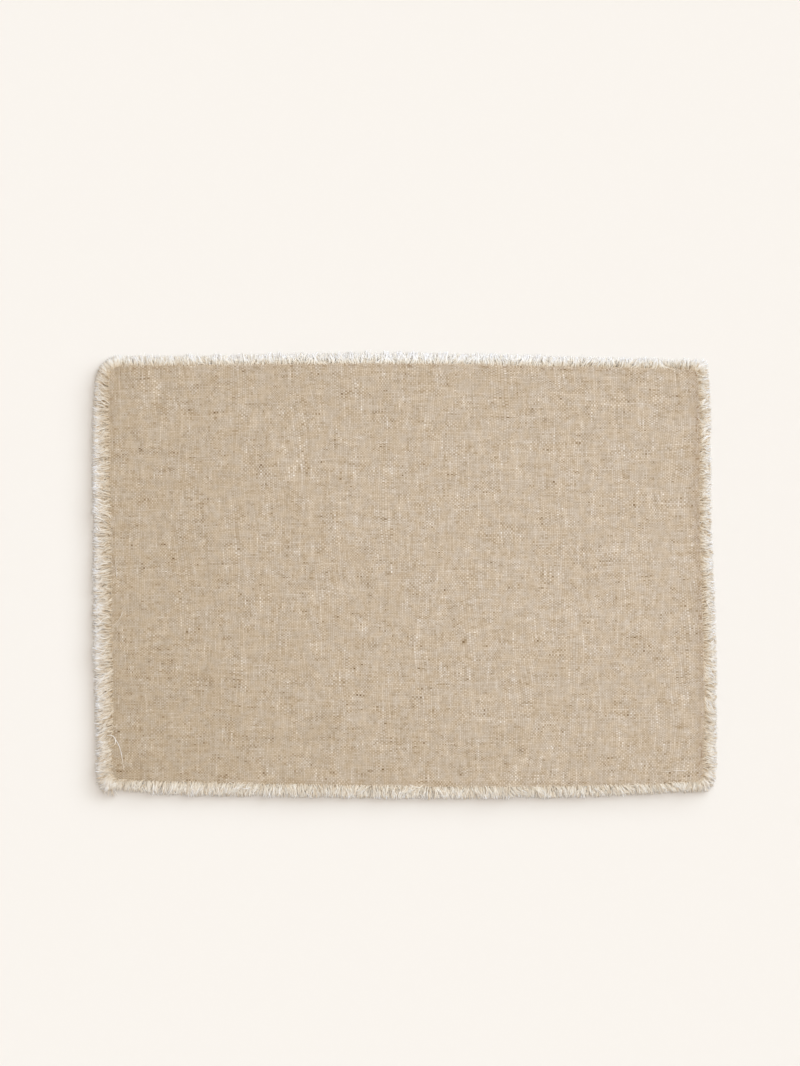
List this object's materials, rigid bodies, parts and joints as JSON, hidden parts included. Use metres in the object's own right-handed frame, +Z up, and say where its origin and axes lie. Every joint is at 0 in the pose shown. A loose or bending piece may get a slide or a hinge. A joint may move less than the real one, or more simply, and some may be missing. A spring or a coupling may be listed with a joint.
{
  "type": "fabric placemat",
  "caption": "Flat woven cloth placemat, a hand-cut rectangle lying very slightly askew, with a short frayed fringe on all sides.",
  "frame": {"origin": "middle of the underside of the whole mat, fringe included", "axes": "+X along the long side, +Y towards the edge that is at the top of the picture, +Z up out of the cloth's face"},
  "size_m": [0.4972, 0.3574, 0.0019],
  "materials": {
    "woven_cloth": "matt plain weave of uneven oatmeal and cream yarns, with small slubs and darker flecks",
    "frayed_yarn": "matt loose yarn ends, paler than the cloth they are frayed from"
  },
  "bodies": {
    "root": {"cloth": "woven_cloth", "fringe_back": "frayed_yarn", "fringe_front": "frayed_yarn", "fringe_left": "frayed_yarn", "fringe_right": "frayed_yarn"}
  },
  "joints": []
}
